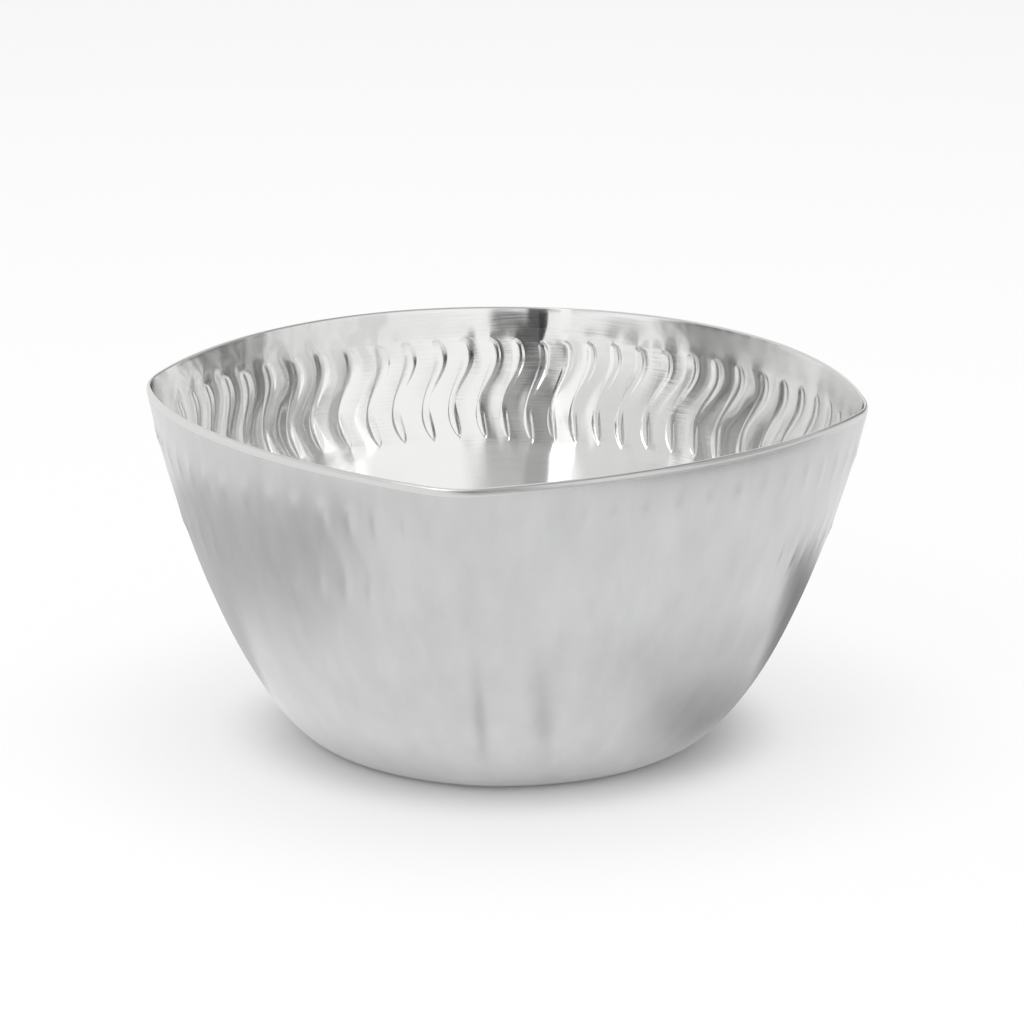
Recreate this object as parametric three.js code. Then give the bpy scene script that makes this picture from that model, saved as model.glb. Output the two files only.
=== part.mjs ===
// A square bowl of sheet silver. One skin, raised from a flat disc, rises from a round flat base to a mouth that is
// a bowed square. S-shaped flutes are chased into the inside of the wall, and the rim is filed round.
// Sizes are in millimetres and +Z is up. The origin is the middle of the flat base. The four sides face +X, +Y, -X
// and -Y, and the corners lie between them.
import * as THREE from "three";

// The sheet
const wall = 0.8;

// The mouth, over the outside of the rim
const cornerReach = 60; // from the axis to a corner
const sideBow = 13.1; // how far a side bows out from the straight line between its corners
const cornerBlend = 1.8; // how near in reach two sides come before they run together at a corner

// The height at the middle of a side, and how much lower the rim lies at a corner
const height = 59.1;
const cornerDip = 1.15;

// The wall's curve: it leaves the flat base level, and comes up to the rim leaning outwards by some degrees. A pull
// is how far the curve keeps to its direction at that end.
const baseRadius = 30;
const basePull = { side: 8.8, corner: 12.4 };
const rimPull = { side: 24.4, corner: 19.7 };
const rimLean = { side: 3, corner: 12.1 };

// The flutes, as they lie on the wall: a broad rounded head, a narrow neck and a leaf that ends in a point
const flutesPerSide = 17;
const fluteTop = 5.2; // from the rim down to a flute's upper end
const fluteDrop = 17.4; // from its upper end down to its lower one
const fluteSwing = 1.6; // how far its middle line sways to either side
const fluteDepth = 0.4;
const headWidth = 2.3;
const neckWidth = 0.7;
const leafWidth = 1.8;

// Places down a flute, from its top (0) to its bottom (1)
const headPlace = 0.18; // the middle line is furthest to the right here, seen from inside the bowl
const neckPlace = 0.6;
const bendPlace = 0.7; // and furthest to the left here
const leafPlace = 0.84;
const tailLength = 0.36; // from the bend to where the middle line would be back at the centre

// How finely the shape is faceted
const wallRows = 16;
const plainRows = 2;
const lowerRows = 11;
const rimSteps = 4;
const nudge = 1e-4; // the small step that a slope is measured over

const sides = 4;
const quarter = Math.PI / 2;

// The mouth's outline is four equal arcs, each bowed out between two corners
const sharpCorner = cornerReach + cornerBlend / 4;
const halfSide = sharpCorner * Math.SQRT1_2;
const sideReach = halfSide + sideBow;
const arcRadius = (halfSide ** 2 + sideBow ** 2) / (2 * sideBow);
const arcOffset = arcRadius - sideReach;
const arcSpread = 2 * Math.atan(sideBow / halfSide);
const flutePitch = (2 * arcSpread * arcRadius) / flutesPerSide;

// The distance from the axis to the arc of the side that faces angle 0
function arcReach(angle) {
  return Math.sqrt(arcRadius ** 2 - (arcOffset * Math.sin(angle)) ** 2) - arcOffset * Math.cos(angle);
}

// The distance from the axis to the mouth's outline, with the arcs run together at the corners
function mouthReach(angle) {
  const fromSide = angle - quarter * Math.round(angle / quarter);
  const here = arcReach(fromSide);
  const next = arcReach(quarter - Math.abs(fromSide));
  const overlap = Math.max(cornerBlend - Math.abs(here - next), 0);
  return Math.min(here, next) - overlap ** 2 / (4 * cornerBlend);
}

// A size that runs from its value at the middle of a side to its value at a corner
function between(size, cornerShare) {
  return size.side + (size.corner - size.side) * cornerShare;
}

// A point of the outer skin: t runs from 0 at the edge of the flat base to 1 at the rim
function outerPoint(angle, t) {
  const reach = mouthReach(angle);
  const cornerShare = (reach - sideReach) / (cornerReach - sideReach);
  const top = height - wall / 2 - cornerDip * cornerShare;
  const lean = THREE.MathUtils.degToRad(between(rimLean, cornerShare));
  const pull = between(rimPull, cornerShare);
  const curve = new THREE.CubicBezierCurve(
    new THREE.Vector2(baseRadius, 0),
    new THREE.Vector2(baseRadius + between(basePull, cornerShare), 0),
    new THREE.Vector2(reach - pull * Math.sin(lean), top - pull * Math.cos(lean)),
    new THREE.Vector2(reach, top),
  );
  const { x: radius, y: z } = curve.getPoint(t);
  return new THREE.Vector3(radius * Math.cos(angle), radius * Math.sin(angle), z);
}

// The directions at a point of the outer skin: up along the wall, and square out of it
function wallFrame(angle, t) {
  const from = Math.max(t - nudge, 0);
  const up = outerPoint(angle, from + nudge).sub(outerPoint(angle, from)).normalize();
  const along = outerPoint(angle + nudge, t).sub(outerPoint(angle - nudge, t));
  return { up, out: along.cross(up).normalize() };
}

// A point inside the outer skin, with the given thickness of metal between
function innerPoint(angle, t, metal) {
  return outerPoint(angle, t).addScaledVector(wallFrame(angle, t).out, -metal);
}

// A point of the rim's round edge: turn runs from 0 at the outer skin to 1 at the inner one
function rimPoint(angle, turn) {
  const { up, out } = wallFrame(angle, 1);
  const swing = Math.PI * turn;
  return innerPoint(angle, 1, wall / 2)
    .addScaledVector(out, (wall / 2) * Math.cos(swing))
    .addScaledVector(up, (wall / 2) * Math.sin(swing));
}

// The place on the wall that is the given drop below the rim, found by halving
function placeBelowRim(angle, drop) {
  const z = outerPoint(angle, 1).z - drop;
  let low = 0;
  let high = 1;
  while (high - low > nudge) {
    const middle = (low + high) / 2;
    if (outerPoint(angle, middle).z < z) low = middle;
    else high = middle;
  }
  return (low + high) / 2;
}

// The angle of a place along the rim, counted in flutes from the corner where the side that faces +X begins
function angleOfPlace(place) {
  const side = Math.floor(place / flutesPerSide);
  const swing = arcSpread * ((2 * (place - side * flutesPerSide)) / flutesPerSide - 1);
  return side * quarter + Math.atan2(arcRadius * Math.sin(swing), arcRadius * Math.cos(swing) - arcOffset);
}

// How far a flute's middle line lies to the left, seen from inside the bowl. It is an S of three pieces of a wave:
// out over the head, across over the neck, and back over the leaf.
function fluteSway(v) {
  if (v < headPlace) return -fluteSwing * Math.sin((quarter * v) / headPlace);
  if (v > bendPlace) return fluteSwing * Math.cos((quarter * (v - bendPlace)) / tailLength);
  return -fluteSwing * Math.cos((Math.PI * (v - headPlace)) / (bendPlace - headPlace));
}

// A flute's width and depth at the stations down its length that its outline needs
const fluteStations = [
  { v: 0, width: 0.4 * headWidth, depth: 0 },
  { v: 0.06, width: 0.85 * headWidth, depth: 0.9 * fluteDepth },
  { v: headPlace, width: headWidth, depth: fluteDepth },
  { v: 0.32, width: 0.8 * headWidth, depth: fluteDepth },
  { v: 0.48, width: 0.5 * headWidth, depth: 0.8 * fluteDepth },
  { v: neckPlace, width: neckWidth, depth: 0.6 * fluteDepth },
  { v: bendPlace, width: 1.3 * neckWidth, depth: 0.7 * fluteDepth },
  { v: leafPlace, width: leafWidth, depth: fluteDepth },
  { v: 0.93, width: 0.6 * leafWidth, depth: 0.7 * fluteDepth },
  { v: 1, width: 0.2 * leafWidth, depth: 0 },
];

// A ring of points, one at each corner and one between each flute and the next
function plainRing(pointAt) {
  const ring = [];
  for (let place = 0; place < sides * flutesPerSide; place++) ring.push(pointAt(angleOfPlace(place)));
  return ring;
}

// A ring across the flutes at one station: each flute has its two edges and its middle
function fluteRing({ v, width, depth }) {
  const ring = [];
  for (let flute = 0; flute < sides * flutesPerSide; flute++) {
    for (const edge of [-1, 0, 1]) {
      const angle = angleOfPlace(flute + 0.5 + (fluteSway(v) + (edge * width) / 2) / flutePitch);
      const t = placeBelowRim(angle, fluteTop + v * fluteDrop);
      ring.push(innerPoint(angle, t, edge === 0 ? wall - depth : wall));
    }
  }
  return ring;
}

// The rings in order: under the base, up the outside, over the rim, down the inside, and in to the middle
function bowlRings() {
  const rings = [[new THREE.Vector3(0, 0, 0)]];
  for (let row = 0; row <= wallRows; row++) rings.push(plainRing((angle) => outerPoint(angle, row / wallRows)));
  for (let step = 1; step <= rimSteps; step++) rings.push(plainRing((angle) => rimPoint(angle, step / rimSteps)));
  for (let row = 1; row <= plainRows; row++) {
    const drop = (fluteTop * row) / (plainRows + 1);
    rings.push(plainRing((angle) => innerPoint(angle, placeBelowRim(angle, drop), wall)));
  }
  for (const station of fluteStations) rings.push(fluteRing(station));
  for (let row = lowerRows; row >= 0; row--) {
    const share = row / (lowerRows + 1);
    rings.push(plainRing((angle) => innerPoint(angle, share * placeBelowRim(angle, fluteTop + fluteDrop), wall)));
  }
  rings.push([new THREE.Vector3(0, 0, wall)]);
  return rings;
}

// The triangles between two rings: each point of the finer ring is joined to the nearest one of the coarser
function bridge(triangles, before, after) {
  const steps = Math.max(before.count, after.count);
  const pick = (ring, i) => ring.first + (Math.round((i * ring.count) / steps) % ring.count);
  for (let i = 0; i < steps; i++) {
    const a = pick(before, i);
    const b = pick(before, i + 1);
    const c = pick(after, i + 1);
    const d = pick(after, i);
    if (a !== b) triangles.push(a, b, d);
    if (c !== d) triangles.push(b, c, d);
  }
}

function bowlGeometry() {
  const points = [];
  const rings = [];
  for (const ring of bowlRings()) {
    rings.push({ first: points.length, count: ring.length });
    points.push(...ring);
  }
  const triangles = [];
  for (let i = 0; i + 1 < rings.length; i++) bridge(triangles, rings[i], rings[i + 1]);
  const geometry = new THREE.BufferGeometry().setFromPoints(points);
  geometry.setIndex(triangles);
  geometry.computeVertexNormals();
  return geometry;
}

const silver = new THREE.MeshStandardMaterial({ color: 0xd9d9d7, roughness: 0.2, metalness: 1 });

const bowl = new THREE.Mesh(bowlGeometry(), silver);
bowl.name = "bowl";

const group = new THREE.Group();
group.add(bowl);

export default group;
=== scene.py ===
# The looks of the square silver bowl: one skin of sheet silver, polished inside and satin outside, with
# S-shaped flutes chased into the inside of its wall. The shape repeats the driving dimensions of the part,
# in metres, and adds what the part leaves out: the soft and the crisp edge of each flute, the lip and the
# hollow round it, the marks of the punch, the relief outside, the softly filed rim, the strays of hand work
# and the swells of the sheet.
import math

import bpy
import numpy as np
from mathutils import Matrix, Vector


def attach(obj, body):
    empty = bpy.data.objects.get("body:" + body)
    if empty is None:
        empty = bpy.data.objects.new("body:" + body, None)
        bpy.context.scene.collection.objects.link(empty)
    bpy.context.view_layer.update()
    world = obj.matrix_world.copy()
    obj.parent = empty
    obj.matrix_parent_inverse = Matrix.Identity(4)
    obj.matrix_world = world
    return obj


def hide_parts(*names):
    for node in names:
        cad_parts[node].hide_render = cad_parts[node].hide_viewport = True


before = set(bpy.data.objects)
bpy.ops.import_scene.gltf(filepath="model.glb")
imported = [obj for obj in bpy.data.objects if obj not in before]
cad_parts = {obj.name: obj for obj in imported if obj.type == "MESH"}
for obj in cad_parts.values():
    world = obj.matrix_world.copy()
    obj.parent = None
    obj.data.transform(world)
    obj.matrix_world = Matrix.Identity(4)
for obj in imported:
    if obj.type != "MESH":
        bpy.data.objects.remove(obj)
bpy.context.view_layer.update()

MM = 0.001

# The sheet, and its edge at the rim, filed over softly on the outside and a little on the inside: how far
# across the sheet, and how far down it
WALL = 0.8 * MM
OUTER_ROUND = (0.55 * MM, 1.2 * MM)
INNER_ROUND = (0.25 * MM, 0.3 * MM)

# The mouth, over the outside of the rim. The bow and the height are a hair less than the part's, so that the
# swells and the relief stay inside its box.
CORNER_REACH = 60 * MM  # from the axis to a corner
SIDE_BOW = 13.03 * MM  # how far a side bows out from the straight line between its corners
CORNER_BLEND = 1.8 * MM  # how near in reach two sides come before they run together at a corner

# The height at the middle of a side, and how much lower the rim lies at a corner
HEIGHT = 59.08 * MM
CORNER_DIP = 1.15 * MM

# The wall's curve leaves the flat base level and comes up to the rim leaning outwards by some degrees. A pull
# is how far the curve keeps to its direction at that end. Each pair is for the middle of a side and for a
# corner.
BASE_RADIUS = 30 * MM
BASE_PULL = (8.8 * MM, 12.4 * MM)
RIM_PULL = (24.4 * MM, 19.7 * MM)
RIM_LEAN = (3, 12.1)

# The flutes, as they lie on the wall: a broad rounded head, a narrow neck and a leaf that ends in a point
FLUTES_PER_SIDE = 17
FLUTE_TOP = 5.2 * MM  # from the rim down to a flute's upper end
FLUTE_DROP = 17.1 * MM  # from its upper end down to its lower one
FLUTE_SWING = 1.6 * MM  # how far its middle line sways to either side
HEAD_SWAY = 0.5  # the share of that swing that it starts with, at its upper end
FLUTE_DEPTH = 0.12 * MM
NECK_DEPTH = 0.5  # the share of that depth that is left at the neck
HEAD_WIDTH = 2.6 * MM
HEAD_START = 0.9  # the share of that width that it has at its upper end, before the end is rounded
NECK_WIDTH = 1.4 * MM
LEAF_WIDTH = 2.0 * MM
CROWD = 0.02  # how much the flutes crowd towards the corners, as a share of a side

# Places down a flute, from its top (0) to its bottom (1)
CAP_PLACE = 0.075  # the round end of the head is over here
HEAD_PLACE = 0.18  # the middle line is furthest to the right here, seen from inside the bowl
NECK_PLACE = 0.62
BEND_PLACE = 0.7  # and furthest to the left here
LEAF_PLACE = 0.83
TAIL_LENGTH = 0.36  # from the bend to where the middle line would be back at the centre

# Across a flute, seen from inside: over its head a soft left edge leads to a flat floor, and that to a short
# steep flank on the right. At its neck the steep flank is on the left, and the floor rises from there to the
# right edge. The leaf is cut alike on both sides. The edges are shares of the flute's width.
SOFT_EDGE = 0.6
CRISP_EDGE = 0.22
LEAF_POWER = 2.5  # how flat the leaf's floor is, and how crisp its edges: 2 would be round

# The lip of metal that the punch pushed up round a flute, most of it on the right
LIP_HEIGHT = 0.02 * MM
LIP_PLACE = 0.4 * MM  # from the flute's edge to the lip's crest
LIP_SPREAD = 0.65 * MM
LIP_LEFT = 0.25  # the share of its height on the left

# The broad hollow that the wall sinks into along each flute
HOLLOW_DEPTH = 0.12 * MM
HOLLOW_SPREAD = 1.9 * MM

# The marks of the punch: on a flute's flanks up to about a third of this high, lower on its floor, and none
# at its edges
PUNCH_MARK = 0.02 * MM
MARK_FADE = 1.2  # at 1 there would be none on the floor

# Hand work: how far a flute strays from its place along the rim and down the wall, and how its depth varies.
# The seed is for these, the swells and the marks of the punch.
STRAY_ALONG = 0.3 * MM
STRAY_DOWN = 0.25 * MM
STRAY_DEPTH = 0.1
SEED = 5

# The faint relief of the flutes on the outside, and the bumps on it: the place down the flute, the share of
# its length and how much higher
RELIEF = 0.08 * MM
RELIEF_SPREAD = 1.0 * MM
RELIEF_PAST = 0.03  # how far it reaches beyond the flute's ends, as a share of its length
RELIEF_FADE = 0.08  # the share that it rises over at each end
BUMPS = ((0.13, 0.05, 0.22 * MM), (0.9, 0.06, 0.14 * MM))

# The swells that planishing leaves in the sheet: the shortest, the longest, and how high they would stand
# together if all were of the longest
SWELL_SHORT = 4 * MM
SWELL_LONG = 30 * MM
SWELL_HEIGHT = 0.08 * MM
SWELL_GROWTH = 1.2  # the power of a swell's length that its height grows with
SWELL_COUNT = 60
SWELL_START = 0.25  # the lower share of the wall, over which they come in

# How finely the shape is meshed across: the columns for each flute
GROOVE_COLUMNS = 11
LAND_COLUMNS = 7
FLOOR_COLUMNS = 2
SHOULDER = 0.12 * MM  # from a groove's edge to the first column on the land beside it
LEAST_SPREAD = 0.5 * MM  # a groove's columns stay this far apart in all where it narrows to nothing

# And down: the rows outside and over the rim, and then inside. Those are shares of the stretch from the rim
# to the flutes, of the round end of a head, of a flute, and of the stretch from the flutes to the floor.
OUTER_ROWS = 44
RIM_STEPS = 12
BAND_ROWS = (0.15, 0.3, 0.45, 0.58, 0.68, 0.76, 0.83, 0.89, 0.95)
CAP_ROWS = (0, 0.05, 0.12, 0.22, 0.36, 0.54, 0.76)
FLUTE_ROWS = 36
TIP_START = 0.93
TIP_ROWS = (0.95, 0.97, 0.985, 1)
UNDER_ROWS = (0.006, 0.014, 0.024, 0.036)
LOWER_START = 0.05
LOWER_ROWS = 22
LOWER_EVEN = 0.5  # by here the columns are evenly spaced again
FLOOR_RINGS = (0.4, 0.8)  # shares of the base's radius

NUDGE = 1e-4  # the small step that a slope is measured over
HALVINGS = 20
TINY = 1e-6  # stands in where a width that is divided by would be nothing

SIDES = 4
QUARTER = math.pi / 2
FLUTES = SIDES * FLUTES_PER_SIDE
COLUMNS = GROOVE_COLUMNS + 2 + LAND_COLUMNS  # for each flute, with a shoulder on either side of its groove
FLOOR_TURN = 1 / FLUTES  # how far round from a corner the floor's rings start, in flutes

# The mouth's outline is four equal arcs, each bowed out between two corners
SHARP_CORNER = CORNER_REACH + CORNER_BLEND / 4
HALF_SIDE = SHARP_CORNER * math.sqrt(0.5)
SIDE_REACH = HALF_SIDE + SIDE_BOW
ARC_RADIUS = (HALF_SIDE**2 + SIDE_BOW**2) / (2 * SIDE_BOW)
ARC_OFFSET = ARC_RADIUS - SIDE_REACH
ARC_SPREAD = 2 * math.atan(SIDE_BOW / HALF_SIDE)
FLUTE_PITCH = 2 * ARC_SPREAD * ARC_RADIUS / FLUTES_PER_SIDE


def arc_reach(angle):
    """The distance from the axis to the arc of the side that faces angle 0."""
    return np.sqrt(ARC_RADIUS**2 - (ARC_OFFSET * np.sin(angle)) ** 2) - ARC_OFFSET * np.cos(angle)


def mouth_reach(angle):
    """The distance from the axis to the mouth's outline, with the arcs run together at the corners."""
    from_side = angle - QUARTER * np.round(angle / QUARTER)
    here = arc_reach(from_side)
    following = arc_reach(QUARTER - np.abs(from_side))
    overlap = np.maximum(CORNER_BLEND - np.abs(here - following), 0)
    return np.minimum(here, following) - overlap**2 / (4 * CORNER_BLEND)


def between(pair, corner_share):
    """A size that runs from its value at the middle of a side to its value at a corner."""
    return pair[0] + (pair[1] - pair[0]) * corner_share


def outer_point(angle, t):
    """Points of the plain outer skin: t runs from 0 at the edge of the flat base to 1 at the rim."""
    reach = mouth_reach(angle)
    corner_share = (reach - SIDE_REACH) / (CORNER_REACH - SIDE_REACH)
    top = HEIGHT - WALL / 2 - CORNER_DIP * corner_share
    lean = np.radians(between(RIM_LEAN, corner_share))
    pull = between(RIM_PULL, corner_share)
    weights = ((1 - t) ** 3, 3 * t * (1 - t) ** 2, 3 * t**2 * (1 - t), t**3)
    radii = (BASE_RADIUS, BASE_RADIUS + between(BASE_PULL, corner_share), reach - pull * np.sin(lean), reach)
    radius = sum(weight * value for weight, value in zip(weights, radii))
    z = weights[2] * (top - pull * np.cos(lean)) + weights[3] * top
    return np.stack([radius * np.cos(angle), radius * np.sin(angle), z], axis=-1)


def unit(vectors):
    """The directions of vectors."""
    return vectors / np.linalg.norm(vectors, axis=-1, keepdims=True)


def wall_frame(angle, t):
    """The directions at points of the outer skin: up along the wall, and square out of it."""
    start = np.clip(t - NUDGE / 2, 0, 1 - NUDGE)
    up = unit(outer_point(angle, start + NUDGE) - outer_point(angle, start))
    along = outer_point(angle + NUDGE, t) - outer_point(angle - NUDGE, t)
    return up, unit(np.cross(along, up))


def on_sheet(angle, t):
    """Points of the plain outer skin, the direction out of it there, and how far below the rim they lie."""
    plain = outer_point(angle, t)
    _, out = wall_frame(angle, t)
    return plain, out, outer_point(angle, 1.0)[..., 2] - plain[..., 2]


def place_below_rim(angle, drop):
    """The places on the wall that are the given drops below the rim, found by halving."""
    z = outer_point(angle, 1.0)[..., 2] - drop
    low = np.zeros_like(z)
    high = np.ones_like(z)
    for _ in range(HALVINGS):
        middle = (low + high) / 2
        under = outer_point(angle, middle)[..., 2] < z
        low = np.where(under, middle, low)
        high = np.where(under, high, middle)
    return (low + high) / 2


def angle_of_place(place):
    """The angle of a place along the rim, counted in flutes from the corner where the side that faces +X
    begins."""
    side = np.floor(place / FLUTES_PER_SIDE)
    share = place / FLUTES_PER_SIDE - side
    swing = ARC_SPREAD * (2 * (share - CROWD * np.sin(2 * np.pi * share)) - 1)
    return side * QUARTER + np.arctan2(ARC_RADIUS * np.sin(swing), ARC_RADIUS * np.cos(swing) - ARC_OFFSET)


def ease(share):
    """A share from 0 to 1 that starts and ends level."""
    share = np.clip(share, 0, 1)
    return share**2 * (3 - 2 * share)


def eased(v, stations, values):
    """A value that is level at each of its stations and runs smoothly from one to the next."""
    result = np.full_like(v, values[0])
    for start, end, first, last in zip(stations, stations[1:], values, values[1:]):
        result = result + (last - first) * ease((v - start) / (end - start))
    return result


def flute_sway(v):
    """How far a flute's middle line lies to the left, seen from inside: an S of three pieces of a wave, out
    over the head, across over the neck, and back over the leaf."""
    v = np.clip(v, 0, 1)
    head = -HEAD_SWAY - (1 - HEAD_SWAY) * np.sin(QUARTER * v / HEAD_PLACE)
    neck = -np.cos(np.pi * (v - HEAD_PLACE) / (BEND_PLACE - HEAD_PLACE))
    tail = np.cos(QUARTER * (v - BEND_PLACE) / TAIL_LENGTH)
    return FLUTE_SWING * np.where(v < HEAD_PLACE, head, np.where(v > BEND_PLACE, tail, neck))


def flute_tip(v):
    """The share of a flute's width that is left, squared, as it runs out to its point."""
    return 1 - np.clip((v - LEAF_PLACE) / (1 - LEAF_PLACE), 0, 1) ** 2


def flute_cap(v):
    """The same, squared, at the round end of the head."""
    return 1 - np.clip((CAP_PLACE - v) / CAP_PLACE, 0, 1) ** 2


def flute_width(v):
    """How wide a flute is, with its point and before its head is rounded."""
    widths = (HEAD_START * HEAD_WIDTH, HEAD_WIDTH, NECK_WIDTH, LEAF_WIDTH)
    return eased(v, (0, HEAD_PLACE, NECK_PLACE, LEAF_PLACE), widths) * np.sqrt(flute_tip(v))


def groove_share(v):
    """How deep a flute is along its length, as a share of its full depth."""
    return eased(v, (HEAD_PLACE, NECK_PLACE, LEAF_PLACE), (1, NECK_DEPTH, 1))


def across_flute(from_left, v):
    """The share of a flute's depth at a share of its width from the left edge."""
    head = ease(from_left / SOFT_EDGE) * np.clip((1 - from_left) / CRISP_EDGE, 0, 1)
    neck = ease(from_left / CRISP_EDGE) * (1 - from_left)
    leaf = 1 - np.abs(1 - 2 * from_left) ** LEAF_POWER
    to_neck = ease((v - HEAD_PLACE) / (NECK_PLACE - HEAD_PLACE))
    to_leaf = ease((v - NECK_PLACE) / (LEAF_PLACE - NECK_PLACE))
    return head + (neck - head) * to_neck + (leaf - neck) * to_leaf


def near_flutes(place, drop):
    """For each of the three nearest flutes: which it is, the place down it, and the length to the left of its
    middle line."""
    for neighbour in (-1, 0, 1):
        flute = (np.floor(place) + neighbour).astype(int)
        own = flute % FLUTES
        v = (drop - FLUTE_TOP - stray_down[own]) / (FLUTE_DROP + stray_length[own])
        middle = flute + 0.5 + (flute_sway(v) + stray_along[own]) / FLUTE_PITCH
        yield own, v, (place - middle) * FLUTE_PITCH


def upset(place, drop):
    """How far the metal stands up round the flutes: a lip close by, in a broad hollow."""
    height = np.zeros(np.broadcast(place, drop).shape)
    for _, v, leftward in near_flutes(place, drop):
        width = np.maximum(flute_width(v), LEAST_SPREAD)
        outline = np.maximum(width * np.sqrt(flute_cap(v)), LEAST_SPREAD)
        beside = np.maximum(np.abs(leftward) - outline / 2, 0)
        beyond = np.maximum(np.maximum(-v, v - 1), 0) * FLUTE_DROP
        from_crest = (np.hypot(beside, beyond) - LIP_PLACE) / LIP_SPREAD
        side = 1 - (1 - LIP_LEFT) * ease(leftward / HEAD_WIDTH + 0.5)
        from_middle = np.hypot(leftward, beyond) / HOLLOW_SPREAD
        height += LIP_HEIGHT * groove_share(v) * side * np.exp(-(from_crest**2))
        height -= HOLLOW_DEPTH * np.exp(-(from_middle**2))
    return height


def relief(place, drop):
    """How far the flutes stand out on the outside."""
    height = np.zeros(np.broadcast(place, drop).shape)
    for own, v, leftward in near_flutes(place, drop):
        ends = ease((v + RELIEF_PAST) / RELIEF_FADE) * ease((1 + RELIEF_PAST - v) / RELIEF_FADE)
        ridge = RELIEF * groove_share(v) * ends
        for middle, length, more in BUMPS:
            ridge = ridge + more * np.exp(-(((v - middle) / length) ** 2))
        height += stray_depth[own] * ridge * np.exp(-((leftward / RELIEF_SPREAD) ** 2))
    return height


# Each flute's own strays
chance = np.random.default_rng(SEED)
stray_along = STRAY_ALONG * chance.uniform(-1, 1, FLUTES)
stray_down = STRAY_DOWN * chance.uniform(-1, 1, FLUTES)
stray_length = STRAY_DOWN * chance.uniform(-1, 1, FLUTES)
stray_depth = 1 + STRAY_DEPTH * chance.uniform(-1, 1, FLUTES)

# The swells: each is a wave with a whole number of crests round the wall
rim_length = FLUTES * FLUTE_PITCH
swell_length = SWELL_SHORT * (SWELL_LONG / SWELL_SHORT) ** chance.uniform(0, 1, SWELL_COUNT)
swell_turn = chance.uniform(0, np.pi, SWELL_COUNT)
swell_phase = chance.uniform(0, 2 * np.pi, SWELL_COUNT)
swell_crests = np.round(rim_length * np.cos(swell_turn) / swell_length)


def swell(place, drop, t):
    """How far the sheet stands out of its true shape. A wave runs along the rim and down the wall."""
    height = np.zeros(np.broadcast(place, drop).shape)
    for length, turn, phase, crests in zip(swell_length, swell_turn, swell_phase, swell_crests):
        share = (length / SWELL_LONG) ** SWELL_GROWTH / math.sqrt(SWELL_COUNT)
        wave = crests * place / FLUTES + np.sin(turn) * drop / length
        height += SWELL_HEIGHT * share * np.cos(2 * np.pi * wave + phase)
    return height * ease(t / SWELL_START)


def even_places():
    """A column's place where the columns are evenly spaced, with the middle one of each land between two
    flutes."""
    step = np.arange(COLUMNS) - (COLUMNS - 1 - LAND_COLUMNS // 2)
    return (np.arange(FLUTES)[:, None] + 1 + step / COLUMNS).reshape(-1)


def fluted_places(v):
    """The columns' places where they follow the flutes: rows of v against columns."""
    v = v[:, None]
    middle = np.arange(FLUTES) + 0.5 + (flute_sway(v) + stray_along) / FLUTE_PITCH
    spread = np.maximum(flute_width(v) * np.sqrt(flute_cap(v)), LEAST_SPREAD) / 2 / FLUTE_PITCH
    steps = np.sin(np.linspace(-QUARTER, QUARTER, GROOVE_COLUMNS))
    groove = middle[:, :, None] + spread[:, :, None] * steps
    shoulder = SHOULDER / FLUTE_PITCH
    left = groove[:, :, :1] - shoulder
    right = groove[:, :, -1:] + shoulder
    onward = np.roll(left, -1, axis=1)
    onward[:, -1] += FLUTES
    share = np.arange(1, LAND_COLUMNS + 1) / (LAND_COLUMNS + 1)
    land = right + (onward - right) * share
    return np.concatenate([left, groove, right, land], axis=2).reshape(len(v), -1)


def by_column(per_flute):
    """A value of each flute's own, for all the columns: it runs evenly across the land between two flutes."""
    here = per_flute[:, None]
    onward = np.roll(here, -1, axis=0)
    share = np.arange(1, LAND_COLUMNS + 1) / (LAND_COLUMNS + 1)
    land = here + (onward - here) * share
    return np.concatenate([np.repeat(here, GROOVE_COLUMNS + 2, axis=1), land], axis=1).reshape(-1)


def groove_depth(v, place):
    """How deep the flutes are pressed in at rows of v and the columns' places."""
    v = v[:, None]
    flute = np.repeat(np.arange(FLUTES), COLUMNS)
    middle = flute + 0.5 + (flute_sway(v) + stray_along[flute]) / FLUTE_PITCH
    half_width = np.maximum(flute_width(v) / 2, TINY)
    across = (place - middle) * FLUTE_PITCH / half_width
    over_head = np.clip((CAP_PLACE - v) / CAP_PLACE, 0, 1)
    across = np.clip(across / np.sqrt(np.maximum(1 - over_head**2, TINY)), -1, 1)
    from_left = (1 - across) / 2
    share = across_flute(from_left, v) * (1 - over_head**LEAF_POWER)
    marks = PUNCH_MARK * chance.uniform(-1, 1, share.shape) * share * (MARK_FADE - share)
    return FLUTE_DEPTH * groove_share(v) * stray_depth[flute] * share + marks


def inside_rows():
    """The inside's rows, from under the rim down to the edge of the floor: the columns' places along the rim
    and up the wall, and how deep the flutes are there."""
    even = even_places()
    top = FLUTE_TOP + by_column(stray_down)
    length = FLUTE_DROP + by_column(stray_length)
    cap = CAP_PLACE * np.array(CAP_ROWS)
    v = np.concatenate([cap, np.linspace(CAP_PLACE, TIP_START, FLUTE_ROWS), TIP_ROWS])
    fluted = fluted_places(v)
    t_fluted = place_below_rim(angle_of_place(fluted), top + v[:, None] * length)
    depth = groove_depth(v, fluted)

    share = np.array(BAND_ROWS)[:, None]
    band = even + (fluted[0] - even) * ease(share)
    t_band = place_below_rim(angle_of_place(band), top * share)

    share = np.concatenate([UNDER_ROWS, np.linspace(LOWER_START, 1, LOWER_ROWS)])[:, None]
    lower = fluted[-1] + (even - fluted[-1]) * ease(share / LOWER_EVEN)
    t_lower = t_fluted[-1] * (1 - share)

    places = np.concatenate([band, fluted, lower])
    t = np.concatenate([t_band, t_fluted, t_lower])
    depths = np.concatenate([np.zeros_like(band), depth, np.zeros_like(lower)])
    return places, t, depths


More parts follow.
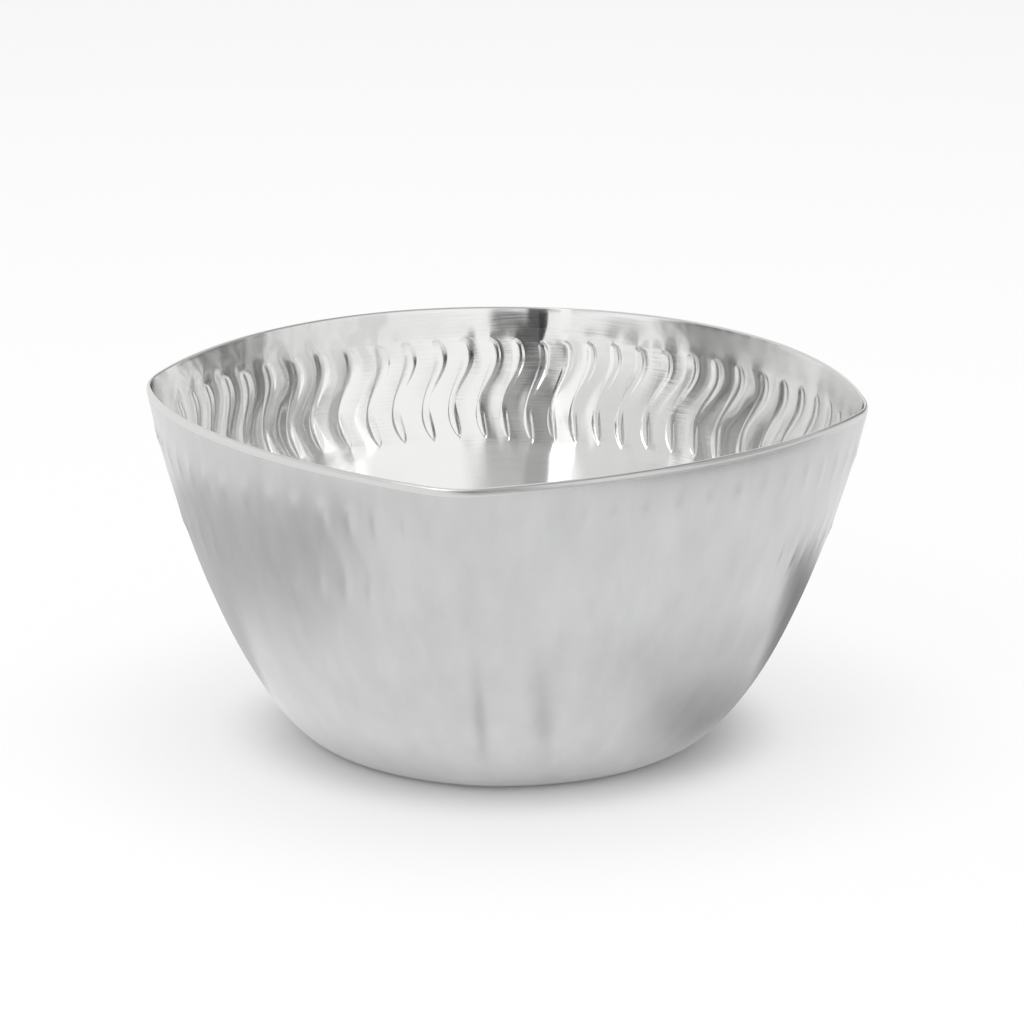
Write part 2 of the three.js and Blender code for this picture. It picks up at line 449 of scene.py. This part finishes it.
def outside_rings(places):
    """The outside's rings, from the edge of the base up to the rim, and how far swells lift the last one."""
    angle = angle_of_place(places)
    t = np.linspace(0, 1, OUTER_ROWS)[:, None] * place_below_rim(angle, OUTER_ROUND[1] - WALL / 2)
    plain, out, drop = on_sheet(angle, t)
    lift = swell(places, drop, t)
    return plain + out * (lift + relief(places, drop))[..., None], lift[-1]


def rim_rings(places, lift):
    """The filed edge's rings, over from the outside to the inside: a quarter of an oval on each side."""
    angle = angle_of_place(places)
    up, out = wall_frame(angle, np.ones_like(angle))
    crest = outer_point(angle, 1.0) + up * WALL / 2 + out * (lift[:, None] - OUTER_ROUND[0])
    rings = []
    for step in range(1, RIM_STEPS + 1):
        turn = math.pi * step / RIM_STEPS
        across, down = OUTER_ROUND if step <= RIM_STEPS // 2 else INNER_ROUND
        rings.append(crest + out * across * math.cos(turn) - up * down * (1 - math.sin(turn)))
    return rings


def inside_rings():
    """The inside's rings, from under the rim down to the edge of the floor."""
    places, t, depths = inside_rows()
    plain, out, drop = on_sheet(angle_of_place(places), t)
    metal = WALL - depths + upset(places, drop) - swell(places, drop, t)
    return plain - out * metal[..., None]


def flat_ring(share, z):
    """A ring of the flat base or of the floor above it, at a share of the base's radius."""
    angle = angle_of_place(np.arange(FLUTES * FLOOR_COLUMNS) / FLOOR_COLUMNS + FLOOR_TURN)
    radius = share * BASE_RADIUS
    return np.stack([radius * np.cos(angle), radius * np.sin(angle), np.full_like(angle, z)], axis=-1)


def bowl_rings():
    """All rings of points, from the middle of the base up the outside, over the rim and down the inside to
    the middle of the floor, each with the finish of the faces that lead to it."""
    even = even_places()
    base = [np.zeros((1, 3))] + [flat_ring(share, 0) for share in FLOOR_RINGS]
    outside, lift = outside_rings(even)
    floor = [flat_ring(share, WALL) for share in reversed(FLOOR_RINGS)] + [np.array([[0, 0, WALL]])]
    by_finish = {
        "satin": [*base, *outside],
        "burnished": rim_rings(even, lift),
        "polished": [*inside_rings(), *floor],
    }
    return [(ring, finish) for finish, rings in by_finish.items() for ring in rings]


def bridge(before, count_before, after, count_after):
    """The faces between two rings: each point of the finer one is joined to the nearest of the coarser."""
    steps = max(count_before, count_after)
    faces = []
    for i in range(steps):
        a, b = (before + round(k * count_before / steps) % count_before for k in (i, i + 1))
        d, c = (after + round(k * count_after / steps) % count_after for k in (i, i + 1))
        faces.append(list(dict.fromkeys((a, b, c, d))))
    return faces


def hex_colour(code):
    """A colour written as sRGB hex, turned linear."""
    channels = [int(code[i : i + 2], 16) / 255 for i in (1, 3, 5)]
    linear = [c / 12.92 if c <= 0.04045 else ((c + 0.055) / 1.055) ** 2.4 for c in channels]
    return (*linear, 1)


def add_node(tree, kind, inputs=None, **settings):
    """A node with its settings. An input is given a value, or the output that feeds it."""
    node = tree.nodes.new(kind)
    for name, value in settings.items():
        setattr(node, name, value)
    for name, value in (inputs or {}).items():
        if isinstance(value, bpy.types.NodeSocket):
            tree.links.new(value, node.inputs[name])
        else:
            node.inputs[name].default_value = value
    return node


def new_material(name):
    """An empty material and its tree."""
    material = bpy.data.materials.new(name)
    material.use_nodes = True
    material.node_tree.nodes.clear()
    return material, material.node_tree


def polished_silver():
    """Sterling silver polished with a mop that ran round the wall: bright, with fine lines that draw out what
    it mirrors upwards and downwards."""
    material, tree = new_material("polished_silver")
    place = add_node(tree, "ShaderNodeTexCoord").outputs["Object"]
    round_the_axis = add_node(tree, "ShaderNodeTangent", direction_type="RADIAL", axis="Z")
    # A mop's lines are a few hundredths of a millimetre apart, and are drawn coarser so that they show
    line_pitch = 0.3 * MM
    line_length = 12 * MM
    line_depth = 0.008 * MM
    lines_at = add_node(tree, "ShaderNodeMapping", {
        "Vector": place, "Scale": (1 / line_length, 1 / line_length, 1 / line_pitch)})
    lines = add_node(tree, "ShaderNodeTexNoise", {
        "Vector": lines_at.outputs[0], "Scale": 1.0, "Detail": 2.0})
    roughness = add_node(tree, "ShaderNodeMapRange", {
        "Value": lines.outputs["Fac"], "To Min": 0.08, "To Max": 0.16})
    bump = add_node(tree, "ShaderNodeBump", {
        "Height": lines.outputs["Fac"], "Strength": 1.0, "Distance": line_depth})
    shader = add_node(tree, "ShaderNodeBsdfPrincipled", {
        "Base Color": hex_colour("#F2F2F1"), "Metallic": 1.0, "Roughness": roughness.outputs[0],
        "Anisotropic": 0.85, "Anisotropic Rotation": 0.25,
        "Normal": bump.outputs[0], "Tangent": round_the_axis.outputs[0]})
    add_node(tree, "ShaderNodeOutputMaterial", {"Surface": shader.outputs[0]})
    return material


def satin_silver():
    """Sterling silver left matt from the pickle and a fine abrasive: even grey, slightly cloudy, with soft
    broad reflections."""
    material, tree = new_material("satin_silver")
    place = add_node(tree, "ShaderNodeTexCoord").outputs["Object"]
    # The abrasive's grit is finer than a tenth of a millimetre, and is drawn coarser so that it shows
    grit = 0.5 * MM
    grit_depth = 0.002 * MM
    cloud_width = 5 * MM
    cloud_height = 14 * MM
    grain = add_node(tree, "ShaderNodeTexNoise", {"Vector": place, "Scale": 1 / grit, "Detail": 3.0})
    cloud_at = add_node(tree, "ShaderNodeMapping", {
        "Vector": place, "Scale": (1 / cloud_width, 1 / cloud_width, 1 / cloud_height)})
    cloud = add_node(tree, "ShaderNodeTexNoise", {
        "Vector": cloud_at.outputs[0], "Scale": 1.0, "Detail": 3.0})
    shade = add_node(tree, "ShaderNodeMix", {
        "Factor": cloud.outputs["Fac"], "A": hex_colour("#C0C0C1"), "B": hex_colour("#D6D6D6")},
        data_type="RGBA")
    roughness = add_node(tree, "ShaderNodeMapRange", {
        "Value": cloud.outputs["Fac"], "To Min": 0.18, "To Max": 0.3})
    bump = add_node(tree, "ShaderNodeBump", {
        "Height": grain.outputs["Fac"], "Strength": 1.0, "Distance": grit_depth})
    shader = add_node(tree, "ShaderNodeBsdfPrincipled", {
        "Base Color": shade.outputs["Result"], "Metallic": 1.0,
        "Roughness": roughness.outputs[0], "Normal": bump.outputs[0]})
    add_node(tree, "ShaderNodeOutputMaterial", {"Surface": shader.outputs[0]})
    return material


def burnished_silver():
    """The sheet's edge, filed round and burnished with steel: a soft bright line, faintly uneven where one
    stroke of the burnisher ends and the next begins."""
    material, tree = new_material("burnished_silver")
    place = add_node(tree, "ShaderNodeTexCoord").outputs["Object"]
    stroke = 1.5 * MM
    marks = add_node(tree, "ShaderNodeTexNoise", {"Vector": place, "Scale": 1 / stroke, "Detail": 3.0})
    roughness = add_node(tree, "ShaderNodeMapRange", {
        "Value": marks.outputs["Fac"], "To Min": 0.27, "To Max": 0.37})
    shader = add_node(tree, "ShaderNodeBsdfPrincipled", {
        "Base Color": hex_colour("#DADAD9"), "Metallic": 1.0, "Roughness": roughness.outputs[0]})
    add_node(tree, "ShaderNodeOutputMaterial", {"Surface": shader.outputs[0]})
    return material


def make_bowl():
    """The bowl as one closed mesh."""
    rings = bowl_rings()
    finishes = {"satin": satin_silver(), "burnished": burnished_silver(), "polished": polished_silver()}
    slots = list(finishes)
    points = np.concatenate([ring for ring, _ in rings])
    faces = []
    slot_of_face = []
    first = 0
    for (ring, _), (following, finish) in zip(rings, rings[1:]):
        joined = bridge(first, len(ring), first + len(ring), len(following))
        faces += joined
        slot_of_face += [slots.index(finish)] * len(joined)
        first += len(ring)
    mesh = bpy.data.meshes.new("silver_bowl")
    mesh.from_pydata(points.tolist(), [], faces)
    mesh.polygons.foreach_set("use_smooth", [True] * len(faces))
    for material in finishes.values():
        mesh.materials.append(material)
    mesh.polygons.foreach_set("material_index", slot_of_face)
    bowl = bpy.data.objects.new("silver_bowl", mesh)
    bpy.context.scene.collection.objects.link(bowl)
    return bowl


# The photograph's camera, as angles round the bowl and the place of the middle of the mouth in its view
VIEW_TURN = math.radians(37.375)
VIEW_DROP = math.radians(15.945)
VIEW_ROLL = math.radians(-0.231)
MOUTH_IN_VIEW = (-1.16 * MM, 20.79 * MM)
VIEW_DISTANCE = 862.4 * MM
LENS = 183.8  # this and the sensor are in millimetres
SENSOR = 36
NEAREST_SEEN = 0.01
FURTHEST_SEEN = 20


def make_camera():
    """The camera, pointed at the bowl as the photograph's was."""
    turn, drop = VIEW_TURN, VIEW_DROP
    level = Vector((math.cos(turn), -math.sin(turn), 0))
    forward = Vector((math.sin(turn) * math.cos(drop), math.cos(turn) * math.cos(drop), -math.sin(drop)))
    raised = level.cross(forward)
    right = level * math.cos(VIEW_ROLL) - raised * math.sin(VIEW_ROLL)
    up = level * math.sin(VIEW_ROLL) + raised * math.cos(VIEW_ROLL)
    mouth = Vector((0, 0, HEIGHT))
    place = mouth - right * MOUTH_IN_VIEW[0] - up * MOUTH_IN_VIEW[1] - forward * VIEW_DISTANCE
    data = bpy.data.cameras.new("camera")
    data.lens = LENS
    data.sensor_width = SENSOR
    data.clip_start = NEAREST_SEEN
    data.clip_end = FURTHEST_SEEN
    camera = bpy.data.objects.new("camera", data)
    axes = Matrix((right, up, -forward)).transposed().to_4x4()
    camera.matrix_world = Matrix.Translation(place) @ axes
    bpy.context.scene.collection.objects.link(camera)
    bpy.context.scene.camera = camera


# The floor is a wide sheet of paper, a hair below the base, with a painted glow on it that no lamp gives, but
# not under the bowl's foot: the glow comes up to its full share between two distances from the axis, as the
# camera sees it and as the silver mirrors it. So it paints a tight shadow round the foot, and further out it
# paints the shadow away, wholly where the silver mirrors it.
FLOOR_REACH = 4
FLOOR_DROP = 0.02 * MM
SEEN_GLOW = (31 * MM, 50 * MM, 0.62)
MIRRORED_GLOW = (26 * MM, 44 * MM, 1.0)


def floor_paper():
    """Matt white paper with a painted glow: it takes the bowl's shadow, and the glow, painted by the distance
    from the axis, makes it white to the camera and to the silver away from the foot."""
    material, tree = new_material("paper_with_painted_glow")
    paper = add_node(tree, "ShaderNodeBsdfDiffuse", {"Color": hex_colour("#F8F8F8")})
    # A painted glow, not a lamp: it paints the floor white away from the foot and leaves painted shade close
    # round it
    glow = add_node(tree, "ShaderNodeEmission", {"Color": (1, 1, 1, 1), "Strength": 1.0})
    path = add_node(tree, "ShaderNodeLightPath").outputs
    place = add_node(tree, "ShaderNodeTexCoord").outputs["Object"]
    reach = add_node(tree, "ShaderNodeVectorMath", {0: place}, operation="LENGTH").outputs["Value"]
    glows = {"Is Camera Ray": SEEN_GLOW, "Is Glossy Ray": MIRRORED_GLOW, "Is Transmission Ray": MIRRORED_GLOW}
    share = 0.0
    for ray, (start, end, full) in glows.items():
        ramp = add_node(tree, "ShaderNodeMapRange", {
            "Value": reach, "From Min": start, "From Max": end, "To Max": full},
            interpolation_type="SMOOTHSTEP")
        share = add_node(tree, "ShaderNodeMath", {
            0: ramp.outputs[0], 1: path[ray], 2: share}, operation="MULTIPLY_ADD").outputs[0]
    mixed = add_node(tree, "ShaderNodeMixShader", {0: share, 1: paper.outputs[0], 2: glow.outputs[0]})
    add_node(tree, "ShaderNodeOutputMaterial", {"Surface": mixed.outputs[0]})
    return material


def make_floor():
    """A wide sheet of matt white paper."""
    mesh = bpy.data.meshes.new("floor")
    corners = [(x * FLOOR_REACH, y * FLOOR_REACH, 0) for x, y in ((-1, -1), (1, -1), (1, 1), (-1, 1))]
    mesh.from_pydata(corners, [], [(0, 1, 2, 3)])
    mesh.materials.append(floor_paper())
    floor = bpy.data.objects.new("floor", mesh)
    floor.location.z = -FLOOR_DROP
    bpy.context.scene.collection.objects.link(floor)


# The light that comes from all round, where the camera and the silver see white
WORLD_LIGHT = 0.6


def make_world():
    """White all round for the camera and for what the silver mirrors, softer light for everything else."""
    world = bpy.data.worlds.new("studio")
    world.use_nodes = True
    tree = world.node_tree
    tree.nodes.clear()
    path = add_node(tree, "ShaderNodeLightPath").outputs
    seen = path["Is Camera Ray"]
    for ray in ("Is Glossy Ray", "Is Transmission Ray"):
        seen = add_node(tree, "ShaderNodeMath", {0: seen, 1: path[ray]}, operation="MAXIMUM").outputs[0]
    strength = add_node(tree, "ShaderNodeMapRange", {"Value": seen, "To Min": WORLD_LIGHT, "To Max": 1.0})
    light = add_node(tree, "ShaderNodeBackground", {"Color": (1, 1, 1, 1), "Strength": strength.outputs[0]})
    add_node(tree, "ShaderNodeOutputWorld", {"Surface": light.outputs[0]})
    bpy.context.scene.world = world


def direction(azimuth, elevation, distance):
    """A place that many degrees to the right of the camera and above the mouth, seen from the middle of the
    mouth."""
    around = -math.pi / 2 - VIEW_TURN + math.radians(azimuth)
    level = distance * math.cos(math.radians(elevation))
    height = HEIGHT + distance * math.sin(math.radians(elevation))
    return level * math.cos(around), level * math.sin(around), height


def add_lamp(name, place, size, power, mirrored):
    """A square soft lamp that points at the bowl, and that the silver mirrors or not. Its size is in metres
    and its power in watts."""
    data = bpy.data.lights.new(name, "AREA")
    data.shape = "SQUARE"
    data.size = size
    data.energy = power
    lamp = bpy.data.objects.new(name, data)
    lamp.location = place
    lamp.rotation_mode = "QUATERNION"
    lamp.rotation_quaternion = (Vector((0, 0, HEIGHT / 2)) - Vector(place)).to_track_quat("-Z", "Y")
    lamp.visible_camera = False
    lamp.visible_glossy = mirrored
    bpy.context.scene.collection.objects.link(lamp)


def soft_card_material(name, shade, soft):
    """An even shade that glows, painted light for the silver to mirror, and fades out over a share of a
    card's width and height.
    """
    material, tree = new_material(name)
    place = add_node(tree, "ShaderNodeSeparateXYZ", {0: add_node(tree, "ShaderNodeTexCoord").outputs["UV"]})
    cover = 1.0
    for axis, share in zip("XY", soft):
        inside = add_node(tree, "ShaderNodeMath", {0: place.outputs[axis], 1: 0.5}, operation="SUBTRACT")
        inside = add_node(tree, "ShaderNodeMath", {0: inside.outputs[0]}, operation="ABSOLUTE")
        ramp = add_node(tree, "ShaderNodeMapRange", {
            "Value": inside.outputs[0], "From Min": 0.5, "From Max": 0.5 - share},
            interpolation_type="SMOOTHSTEP")
        cover = add_node(tree, "ShaderNodeMath", {
            0: cover, 1: ramp.outputs[0]}, operation="MULTIPLY").outputs[0]
    clear = add_node(tree, "ShaderNodeBsdfTransparent")
    # The card glows with its shade: painted light or shade in what the silver mirrors, lighting nothing else
    shaded = add_node(tree, "ShaderNodeEmission", {"Color": hex_colour(shade), "Strength": 1.0})
    mixed = add_node(tree, "ShaderNodeMixShader", {0: cover, 1: clear.outputs[0], 2: shaded.outputs[0]})
    add_node(tree, "ShaderNodeOutputMaterial", {"Surface": mixed.outputs[0]})
    return material


def hang_card(name, points, columns, rows, material):
    """A card of so many columns and rows of faces that only the silver sees."""
    width = columns + 1
    faces = [(i, i + 1, i + width + 1, i + width) for row in range(rows)
             for i in range(row * width, row * width + columns)]
    mesh = bpy.data.meshes.new(name)
    mesh.from_pydata(points, [], faces)
    uv = mesh.uv_layers.new(name="across")
    for loop in mesh.loops:
        row, column = divmod(loop.vertex_index, width)
        uv.data[loop.index].uv = (column / columns, row / rows)
    mesh.materials.append(material)
    card = bpy.data.objects.new(name, mesh)
    card.visible_camera = False
    card.visible_diffuse = False
    card.visible_shadow = False
    bpy.context.scene.collection.objects.link(card)


CARD_STEP = 6  # degrees, at most, from one column or row of a card to the next


def card_steps(ends):
    """Evenly spaced degrees from one end to the other."""
    count = math.ceil((ends[1] - ends[0]) / CARD_STEP)
    return [ends[0] + i / count * (ends[1] - ends[0]) for i in range(count + 1)]


def soft_shares(soft, turn, rise):
    """How far a card fades sideways and upwards, as shares of its sides."""
    return soft[0] / (turn[1] - turn[0]), soft[1] / (rise[1] - rise[0])


def add_card(name, shade, turn, rise, soft, distance):
    """A curved glowing card that only the silver mirrors: a painted reflection, not a lamp. Its sides are
    given in degrees to the right of the camera and above the mouth, seen from the middle of the mouth, and so
    is how far it fades sideways and upwards."""
    azimuths = card_steps(turn)
    elevations = card_steps(rise)
    points = [direction(azimuth, elevation, distance) for elevation in elevations for azimuth in azimuths]
    material = soft_card_material(name, shade, soft_shares(soft, turn, rise))
    hang_card(name, points, len(azimuths) - 1, len(elevations) - 1, material)


def add_floor_card(name, shade, turn, reach, soft, height):
    """A glowing card that lies just above the floor, between two distances from the axis, and that only the
    silver
    mirrors: painted shade on the table. The distances, how far it fades outwards and its height are in
    millimetres."""
    azimuths = card_steps(turn)
    points = []
    for distance in reach:
        for azimuth in azimuths:
            x, y, _ = direction(azimuth, 0, distance * MM)
            points.append((x, y, height * MM))
    material = soft_card_material(name, shade, soft_shares(soft, turn, reach))
    hang_card(name, points, len(azimuths) - 1, 1, material)


make_camera()
make_floor()
make_world()

# Glowing cards that only the silver sees, standing in for a studio's flags, screens and wings: painted
# reflections of dark and grey, which light nothing else. The ones near the camera make the dark stripe down
# the far corner and the grey beside it, and the wings and the high cards paint shade into the sides. A nearer
# card hides one that hangs further away.
add_card("black_flag", "#0A0A0A", (-13, 1), (-12, 16), (2, 4), 0.9)
add_card("dark_flag", "#484848", (-6, 26), (-12, 11.5), (5, 3), 1.0)
add_card("dark_screen", "#4C4C4C", (-13, 19), (7, 18.5), (8, 2), 1.05)
add_card("middle_screen", "#A4A4A4", (-13, 20), (16, 24), (8, 3), 1.08)
add_card("grey_strip", "#747474", (-31, -4), (15, 23.5), (3, 2), 1.1)
add_card("dim_screen", "#A8A8A8", (-25, 8), (16, 36), (8, 4), 1.15)
add_card("pale_screen", "#C4C4C4", (-22, 30), (18, 36), (14, 4), 1.2)
add_card("left_wing", "#E0E0E0", (-76, -40), (8.5, 32), (5, 2.5), 1.25)
add_card("right_wing", "#B0B0B0", (63, 110), (2, 32), (4, 6), 1.3)
add_card("back_wing", "#707070", (112, 172), (-2, 34), (20, 10), 1.35)
add_card("high_left", "#E6E6E6", (-170, -48), (30, 88), (14, 8), 1.4)
add_card("high_right", "#909090", (-4, 150), (32, 70), (16, 8), 1.45)

# Glowing grey cards just above the floor that only the silver sees: painted shade in what the outside mirrors
# of the table. The ones on the right and near the foot paint the bowl's own shadow on the table, those on the
# left a duller left side, the far one a dark stretch further back, and the two legs faint darker streaks in
# front. A higher card hides a lower one.
add_floor_card("left_floor", "#D8D8D8", (-175, -40), (55, 160), (22, 35), 0.5)
add_floor_card("left_edge", "#D6D6D6", (-160, -96), (32, 150), (10, 20), 0.55)
# The next three paint the bowl's own shadow on the table, near the foot and to its right, seen only in the
# silver
add_floor_card("near_painted_shade", "#E6E6E6", (10, 140), (28, 80), (50, 20), 0.6)
add_floor_card("right_shade", "#B4B4B4", (30, 130), (22, 60), (36, 20), 0.65)
add_floor_card("right_edge_painted_shadow", "#929292", (97, 150), (14, 115), (12, 30), 0.68)
add_floor_card("far_floor", "#505050", (-15, 115), (170, 420), (20, 100), 0.7)
add_floor_card("left_leg", "#DCDCDC", (-9, -2), (36, 70), (3.5, 14), 0.8)
add_floor_card("right_leg", "#DCDCDC", (8, 16), (36, 70), (4, 14), 0.9)

add_lamp("key_softbox", direction(-31, 38, 1.0), 0.33, 0.95, mirrored=True)
add_lamp("overhead_softbox", (0.0, 0.0, 1.1), 0.9, 6.2, mirrored=False)

bowl = make_bowl()
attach(bowl, "root")
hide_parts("bowl")

bpy.context.scene.view_settings.view_transform = "Standard"
